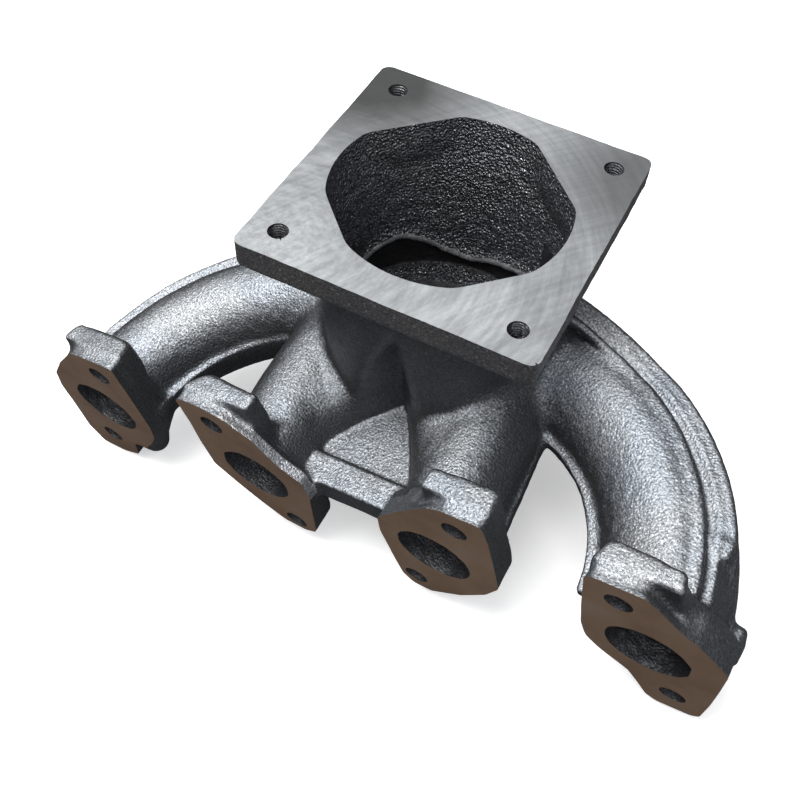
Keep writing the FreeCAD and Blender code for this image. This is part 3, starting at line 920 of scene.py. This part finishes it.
OUTER_SKIN = dict(dark=(0.250, 0.268, 0.280), light=(0.455, 0.480, 0.492),
                  glint_colour=(0.67, 0.69, 0.70), metallic=0.70, roughness=0.48, bumps=0.60)
CAST_LOOKS = {
    CAST: dict(name="cast_skin", **OUTER_SKIN, slope=painted_light_stops(
        (0.40, 0.28), (0.67, 0.21), (0.80, 0.16), (0.865, 0.17), (0.905, 0.27), (0.94, 0.50),
        (0.972, 0.78), (0.998, 1.0))),
    INSIDE: dict(name="gas_side_skin", dark=(0.071, 0.075, 0.082), light=(0.212, 0.219, 0.232),
                 glint_colour=(0.76, 0.77, 0.80), metallic=0.80, roughness=0.30, bumps=1.0, lumps=0.45),
    BORE: dict(name="runner_bore_skin", dark=(0.030, 0.031, 0.035), light=(0.080, 0.082, 0.089),
               glint_colour=(0.19, 0.19, 0.20), metallic=0.50, roughness=0.42, bumps=0.5),
    # painted shade deep in the chamber
    DEEP_SHADE: dict(name="painted_deep_shade_skin", dark=(0.012, 0.013, 0.015), light=(0.030, 0.031, 0.034),
               glint_colour=(0.08, 0.08, 0.09), metallic=0.20, roughness=0.60, bumps=0.35,
               glint_start=0.70),
    DRILLED: dict(name="drilled_wall", dark=(0.05, 0.05, 0.055), light=(0.16, 0.16, 0.165),
                  glint_colour=(0.35, 0.35, 0.36), metallic=0.8, roughness=0.36, bumps=0.3),
    # painted shade on the plate's sides
    RIM_SHADE: dict(name="plate_rim_shade", dark=(0.050, 0.049, 0.050), light=(0.125, 0.122, 0.123),
              glint_colour=(0.30, 0.29, 0.28), metallic=0.5, roughness=0.5, bumps=0.6),
    # the flange faces get a lighter ramp of painted facing light than the rest of the casting
    FLANGE: dict(name="flange_cast_skin", **OUTER_SKIN, slope=painted_light_stops(
        (0.40, 0.28), (0.67, 0.20), (0.78, 0.24), (0.865, 0.40), (0.905, 0.50), (0.94, 0.62),
        (0.972, 0.76), (0.998, 0.95))),
    # painted highlight on the lip bead
    LIP_HIGHLIGHT: dict(name="painted_lip_highlight_skin", dark=(0.34, 0.345, 0.36), light=(0.60, 0.61, 0.63),
               glint_colour=(0.85, 0.86, 0.88), metallic=0.6, roughness=0.42, bumps=0.5),
    # painted highlight on the lip beside port face 2
    EDGE_HIGHLIGHT: dict(name="flange_edge_highlight_skin", dark=(0.17, 0.175, 0.185), light=(0.56, 0.57, 0.59),
               glint_colour=(0.90, 0.91, 0.93), metallic=0.6, roughness=0.42, bumps=0.9),
}


# ------------------------------------------------------------------ milled faces
def cutter_arcs(tree, co, centre_x, centre_y, scale, stretch):
    """Distance from a centre, read through stretched noise: uneven concentric tool marks."""
    moved = node(tree, "ShaderNodeMapping", co, Location=(-centre_x, -centre_y, 0.0))
    place = tree.nodes.new("ShaderNodeSeparateXYZ")
    tree.links.new(moved.outputs[0], place.inputs[0])
    x, y = place.outputs[0], place.outputs[1]
    squares = maths(tree, "ADD", maths(tree, "MULTIPLY", x, x), maths(tree, "MULTIPLY", y, y))
    polar = tree.nodes.new("ShaderNodeCombineXYZ")
    tree.links.new(maths(tree, "SQRT", squares), polar.inputs[0])
    angle = maths(tree, "ARCTAN2", y, x)
    tree.links.new(maths(tree, "MULTIPLY", angle, stretch), polar.inputs[1])
    return noise(tree, polar.outputs[0], scale, detail=3.0, roughness=0.65)


def patch(tree, co, cloud, u, v, reach):
    """1 close to a point (u, v) of the outlet face, 0 beyond reach, with a cloudy edge."""
    distance = tree.nodes.new("ShaderNodeVectorMath")
    distance.operation = "DISTANCE"
    tree.links.new(co, distance.inputs[0])
    distance.inputs[1].default_value = tuple((FACE_CENTRE + u * FACE_U + v * FACE_V) / MM)
    near = maths(tree, "SUBTRACT", 1.0,
                 maths(tree, "DIVIDE", distance.outputs["Value"], reach))
    ragged = maths(tree, "MULTIPLY", maths(tree, "SUBTRACT", cloud, 0.5), 0.7)
    return ramp(tree, maths(tree, "ADD", near, ragged), [(0.0, 0), (0.62, 1)])


def outlet_face_material():
    """Fly-cut iron: arcs of the cutter across the face, cloudy patches, two dark corners."""
    material, tree, shader = new_material("machined_outlet_face")
    co = coords(tree)
    cloud = noise(tree, co, scale=22.0, detail=5.0, roughness=0.6)
    fine = noise(tree, co, scale=700.0, detail=3.0, roughness=0.7)
    wide_arcs = cutter_arcs(tree, co, 0.34, -0.10, scale=420.0, stretch=0.004)
    tight_arcs = cutter_arcs(tree, co, -0.031, 0.053, scale=330.0, stretch=0.010)
    colour = multiply(
        tree,
        ramp(tree, cloud, [(0.25, (0.30, 0.315, 0.325)), (0.75, (0.46, 0.478, 0.488))]),
        ramp(tree, wide_arcs, [(0.32, 0.86), (0.68, 1.07)]),
        ramp(tree, tight_arcs, [(0.32, 0.76), (0.68, 1.12)]),
        ramp(tree, fine, [(0.3, 0.93), (0.7, 1.05)]))
    # darker at the two far corners: u, v, reach in metres, strength, colour
    for u, v, reach, strength, corner_colour in (
            (-62.0, 50.0, 0.055, 0.95, (0.060, 0.062, 0.060)),
            (64.0, 44.0, 0.048, 0.80, (0.11, 0.112, 0.115))):
        near = patch(tree, co, cloud, u, v, reach)
        colour = mix(tree, maths(tree, "MULTIPLY", near, strength), colour, corner_colour)
    feed(tree, shader.inputs["Base Color"], colour)
    feed(tree, shader.inputs["Metallic"], 0.55)
    feed(tree, shader.inputs["Roughness"], ramp(tree, cloud, [(0.2, 0.40), (0.8, 0.55)]))
    height = maths(tree, "ADD", maths(tree, "MULTIPLY", wide_arcs, 0.6),
                   maths(tree, "MULTIPLY", fine, 0.5))
    bump(tree, shader, height, strength=0.30, distance=0.00015)
    return material


def port_face_material():
    """Milled iron with straight tool lines under a warm brown film."""
    material, tree, shader = new_material("machined_port_face")
    co = coords(tree)
    cloud = noise(tree, co, scale=30.0, detail=5.0, roughness=0.6)
    turned = node(tree, "ShaderNodeMapping", co, Rotation=(0, 0.5, 0))
    wave = node(tree, "ShaderNodeTexWave", turned.outputs[0],
                Scale=420.0, Distortion=1.5, Detail=3.0)
    wave.wave_type = "BANDS"
    wave.bands_direction = "X"
    lines = wave.outputs["Fac"]
    fine = noise(tree, co, scale=1100.0, detail=2.0)
    film = ramp(tree, cloud, [(0.3, (0.195, 0.112, 0.066)), (0.5, (0.265, 0.163, 0.098)),
                              (0.72, (0.30, 0.208, 0.140))])
    shade = ramp(tree, lines, [(0.2, 0.93), (0.8, 1.05)])
    feed(tree, shader.inputs["Base Color"], multiply(tree, film, shade))
    feed(tree, shader.inputs["Metallic"], 0.35)
    feed(tree, shader.inputs["Roughness"], 0.48)
    bump(tree, shader, maths(tree, "ADD", lines, fine), strength=0.3, distance=0.0001)
    return material


MATERIALS = {slot: cast_material(**look) for slot, look in CAST_LOOKS.items()}
MATERIALS[OUTLET_FACE] = outlet_face_material()
MATERIALS[PORT_FACE] = port_face_material()


# ------------------------------------------------------------------ one piece per region
def add_object(name, mesh):
    made = bpy.data.objects.new(name, mesh)
    bpy.context.scene.collection.objects.link(made)
    return made


def region_piece(name, chosen):
    used, quads = np.unique(QUADS[chosen], return_inverse=True)
    count = len(chosen)
    mesh = bpy.data.meshes.new(name + "_cast")
    mesh.vertices.add(len(used))
    mesh.vertices.foreach_set("co", (VERTICES[used] / MM).astype(np.float32).ravel())
    mesh.loops.add(quads.size)
    mesh.loops.foreach_set("vertex_index", quads.astype(np.int32).ravel())
    mesh.polygons.add(count)
    mesh.polygons.foreach_set("loop_start", (np.arange(count) * 4).astype(np.int32))
    mesh.polygons.foreach_set("loop_total", np.full(count, 4, np.int32))
    mesh.update(calc_edges=True)
    for slot in sorted(MATERIALS):
        mesh.materials.append(MATERIALS[slot])
    mesh.polygons.foreach_set("material_index", FINISH[chosen].astype(np.int32))
    mesh.polygons.foreach_set("use_smooth", np.ones(count, bool))
    mesh.validate()
    mesh.normals_split_custom_set(NORMALS[chosen].reshape(-1, 3).tolist())
    piece = add_object(name + "_cast", mesh)
    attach(piece, "root")
    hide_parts(name)
    if name == "outlet_flange":
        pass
    elif name in PORT_REGIONS.values():
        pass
    else:
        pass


for index, region_name in enumerate(REGIONS):
    faces = np.where(REGION == index)[0]
    if len(faces):
        region_piece(region_name, faces)

# ------------------------------------------------------------------ M8 threads, corner holes
THREAD_PITCH = 1.25
THREAD_TURNS = 11
THREAD_ROWS = 10                        # rows of vertices per turn
THREAD_SEGMENTS = 56
THREAD_ROOT, THREAD_DEPTH = 3.32, 0.60  # smallest radius, depth of the profile
THREAD_TOP = -0.5                       # w of the first row


def thread(index, side_u, side_v):
    vertices, faces = [], []
    rows = THREAD_TURNS * THREAD_ROWS
    origin = FACE_CENTRE + np.array([SHIFT, 0, 0])
    for row in range(rows + 1):
        w = THREAD_TOP - row * THREAD_PITCH / THREAD_ROWS
        for segment in range(THREAD_SEGMENTS):
            angle = 2 * math.pi * segment / THREAD_SEGMENTS
            phase = (w / THREAD_PITCH - segment / THREAD_SEGMENTS) % 1.0
            radius = THREAD_ROOT + THREAD_DEPTH * (1 - abs(2 * phase - 1))
            u = side_u * HOLE_OFFSET + radius * math.cos(angle)
            v = side_v * HOLE_OFFSET + radius * math.sin(angle)
            vertices.append(tuple((origin + u * FACE_U + v * FACE_V + w * FACE_W) / MM))
    for row in range(rows):
        first = row * THREAD_SEGMENTS
        second = first + THREAD_SEGMENTS
        for segment in range(THREAD_SEGMENTS):
            after = (segment + 1) % THREAD_SEGMENTS
            faces.append((first + segment, first + after, second + after, second + segment))
    mesh = bpy.data.meshes.new("thread_%d" % index)
    mesh.from_pydata(vertices, [], faces)
    for polygon in mesh.polygons:
        polygon.use_smooth = True
    mesh.materials.append(MATERIALS[DRILLED])
    piece = add_object("outlet_thread_%d" % (index + 1), mesh)
    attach(piece, "root")


for index, corner in enumerate(CORNERS):
    thread(index, *corner)


# ------------------------------------------------------------------ floor, light, camera (m)
def add_floor(half=6, level=-0.0515):
    mesh = bpy.data.meshes.new("floor")
    corners = [(-half, -half), (half, -half), (half, half), (-half, half)]
    mesh.from_pydata([(x, y, level) for x, y in corners], [], [(0, 1, 2, 3)])
    floor = add_object("floor", mesh)
    material, tree, shader = new_material("floor_paper")
    paper = ramp(tree, noise(tree, coords(tree), scale=3.0), [(0.3, 0.90), (0.7, 0.93)])
    seen = tree.nodes.new("ShaderNodeLightPath").outputs["Is Camera Ray"]
    # white paper to the eye, but it throws little light back up under the casting
    feed(tree, shader.inputs["Base Color"], mix(tree, seen, (0.10, 0.10, 0.105), paper))
    feed(tree, shader.inputs["Roughness"], 0.9)
    feed(tree, shader.inputs["Emission Color"], paper)
    feed(tree, shader.inputs["Emission Strength"], maths(tree, "MULTIPLY", seen, 0.45))
    mesh.materials.append(material)


def set_world():
    """Sky that brightens with height, seen by the camera as plain near-white."""
    scene = bpy.context.scene
    if not scene.world:
        scene.world = bpy.data.worlds.new("studio")
    scene.world.use_nodes = True
    tree = scene.world.node_tree
    background = tree.nodes.get("Background") or tree.nodes.new("ShaderNodeBackground")
    direction = tree.nodes.new("ShaderNodeSeparateXYZ")
    tree.links.new(tree.nodes.new("ShaderNodeTexCoord").outputs["Generated"],
                   direction.inputs[0])
    sky = ramp(tree, direction.outputs[2],
               [(0.0, (0.05, 0.05, 0.055)), (0.25, (0.12, 0.122, 0.13)),
                (0.60, (0.55, 0.56, 0.58)), (0.95, 1.0)])
    seen = tree.nodes.new("ShaderNodeLightPath").outputs["Is Camera Ray"]
    feed(tree, background.inputs[0], mix(tree, seen, sky, (0.92, 0.92, 0.925)))
    feed(tree, background.inputs[1], 1.0)


def area_light(name, place, size, power, colour, target=(0.0, 0.08, 0.02)):
    """Square area light; place and target are measured from the middle of the port row."""
    light = bpy.data.lights.new(name, "AREA")
    light.shape = "RECTANGLE"
    light.size = size
    light.size_y = size
    light.energy = power
    light.color = colour
    aim = Vector(target) - Vector(place)
    lamp = bpy.data.objects.new(name, light)
    lamp.location = (place[0] + SHIFT / MM, place[1], place[2])
    lamp.rotation_euler = aim.to_track_quat("-Z", "Y").to_euler()
    bpy.context.scene.collection.objects.link(lamp)


def add_camera():
    data = bpy.data.cameras.new("camera")
    data.sensor_width = 36.0
    data.lens = 47.2086
    data.clip_start = 0.01
    right = (0.84247653, 0.49932568, -0.20225516)
    up = (-0.32525069, 0.77071096, 0.54792026)
    backwards = (0.42947093, -0.39582633, 0.81171192)
    place = (0.31335304, -0.11876342, 0.35867074)
    camera = bpy.data.objects.new("camera", data)
    camera.matrix_world = Matrix((*zip(right, up, backwards, place), (0, 0, 0, 1)))
    bpy.context.scene.collection.objects.link(camera)
    bpy.context.scene.camera = camera


add_floor()
set_world()
area_light("key", place=(-0.06, 0.03, 1.10), size=0.7, power=13.5, colour=(1.0, 0.995, 0.98))
area_light("fill", place=(1.35, -0.75, 0.8), size=1.0, power=8.0, colour=(0.95, 0.97, 1.0))
add_camera()
bpy.context.scene.view_settings.view_transform = "Standard"
